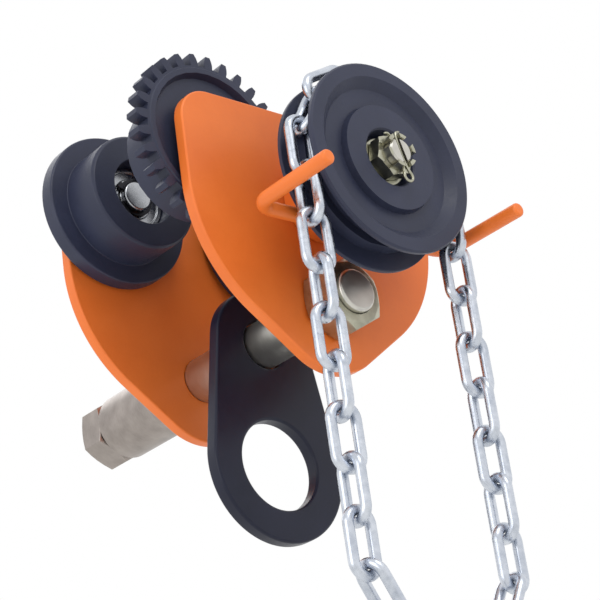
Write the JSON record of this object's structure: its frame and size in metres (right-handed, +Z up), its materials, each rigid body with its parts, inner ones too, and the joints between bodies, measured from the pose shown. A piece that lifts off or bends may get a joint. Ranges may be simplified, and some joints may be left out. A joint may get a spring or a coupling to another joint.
{
  "type": "geared beam trolley",
  "caption": "Geared trolley that rolls on a beam's lower flange, with toothed and plain flanged wheels, a hand chain on a pocket wheel, a chain guide and a swinging load eye.",
  "frame": {"origin": "middle of the surface that the four wheels run on, midway between the side plates and between the axles", "axes": "+X along the beam, -Y towards the hand wheel, +Z up"},
  "size_m": [0.1766, 0.2454, 0.2892],
  "materials": {
    "orange_paint": "satin",
    "black_iron": "satin black paint",
    "zinc_steel": "zinc plated",
    "bright_steel": "ground",
    "dark_steel": "blackened",
    "galvanised_steel": "bright zinc",
    "bronze": "machined"
  },
  "bodies": {
    "trolley_frame": {"side_plate_front": "orange_paint", "side_plate_rear": "orange_paint", "bearing_boss": "orange_paint", "chain_guide": "orange_paint", "load_bar": "zinc_steel", "bar_nut_front": "zinc_steel", "bar_nut_rear": "zinc_steel", "bar_washer_rear": "zinc_steel", "spacer_sleeve": "zinc_steel", "shaft_bush": "bronze", "stub_axle_front_left": "bright_steel", "stub_axle_front_right": "bright_steel", "stub_axle_rear_left": "bright_steel", "stub_axle_rear_right": "bright_steel", "axle_circlip_front_left": "dark_steel", "axle_circlip_front_right": "dark_steel", "axle_circlip_rear_left": "dark_steel", "axle_circlip_rear_right": "dark_steel"},
    "hand_drive": {"hand_wheel": "black_iron", "pinion_shaft": "zinc_steel", "wheel_washer": "zinc_steel", "castle_nut": "zinc_steel", "split_pin": "zinc_steel"},
    "front_left_wheel": {"geared_wheel_left": "black_iron", "wheel_bearing_front_left": "bright_steel"},
    "front_right_wheel": {"geared_wheel_right": "black_iron", "wheel_bearing_front_right": "bright_steel"},
    "rear_left_wheel": {"plain_wheel_left": "black_iron", "wheel_bearing_rear_left": "bright_steel"},
    "rear_right_wheel": {"plain_wheel_right": "black_iron", "wheel_bearing_rear_right": "bright_steel"},
    "hanging_eye": {"load_eye": "black_iron"},
    "hand_chain": {"chain_link_01": "galvanised_steel", "chain_link_02": "galvanised_steel", "chain_link_03": "galvanised_steel", "chain_link_04": "galvanised_steel", "chain_link_05": "galvanised_steel", "chain_link_06": "galvanised_steel", "chain_link_07": "galvanised_steel", "chain_link_08": "galvanised_steel", "chain_link_09": "galvanised_steel", "chain_link_10": "galvanised_steel", "chain_link_11": "galvanised_steel", "chain_link_12": "galvanised_steel", "chain_link_13": "galvanised_steel", "chain_link_14": "galvanised_steel", "chain_link_15": "galvanised_steel", "chain_link_16": "galvanised_steel", "chain_link_17": "galvanised_steel", "chain_link_18": "galvanised_steel", "chain_link_19": "galvanised_steel", "chain_link_20": "galvanised_steel", "chain_link_21": "galvanised_steel", "chain_link_22": "galvanised_steel", "chain_link_23": "galvanised_steel", "chain_link_24": "galvanised_steel", "chain_link_25": "galvanised_steel", "chain_link_26": "galvanised_steel", "chain_link_27": "galvanised_steel", "chain_link_28": "galvanised_steel"}
  },
  "joints": [
    {"name": "hand_wheel_spin", "type": "hinge", "parent": "trolley_frame", "child": "hand_drive", "pos_m": [0, -0.0896, 0.00103], "axis": [0, 1, 0], "continuous": true},
    {"name": "front_left_spin", "type": "hinge", "parent": "trolley_frame", "child": "front_left_wheel", "pos_m": [-0.046, -0.0265, 0.0285], "axis": [0, 1, 0], "continuous": true},
    {"name": "front_right_spin", "type": "hinge", "parent": "trolley_frame", "child": "front_right_wheel", "pos_m": [0.046, -0.0265, 0.0285], "axis": [0, 1, 0], "continuous": true},
    {"name": "rear_left_spin", "type": "hinge", "parent": "trolley_frame", "child": "rear_left_wheel", "pos_m": [-0.046, 0.0265, 0.0285], "axis": [0, 1, 0], "continuous": true},
    {"name": "rear_right_spin", "type": "hinge", "parent": "trolley_frame", "child": "rear_right_wheel", "pos_m": [0.046, 0.0265, 0.0285], "axis": [0, 1, 0], "continuous": true},
    {"name": "load_eye_swing", "type": "hinge", "parent": "trolley_frame", "child": "hanging_eye", "pos_m": [0, 0, -0.0477], "axis": [0, 1, 0], "range_deg": [-70, 70]},
    {"name": "hand_chain_swing", "type": "hinge", "parent": "trolley_frame", "child": "hand_chain", "pos_m": [0, -0.0896, 0.00103], "axis": [0, 1, 0], "range_deg": [-5, 5]}
  ],
  "couplings": [
    {"joint": "front_left_spin", "follows": "hand_wheel_spin", "ratio": -0.31034},
    {"joint": "front_right_spin", "follows": "hand_wheel_spin", "ratio": -0.31034}
  ]
}
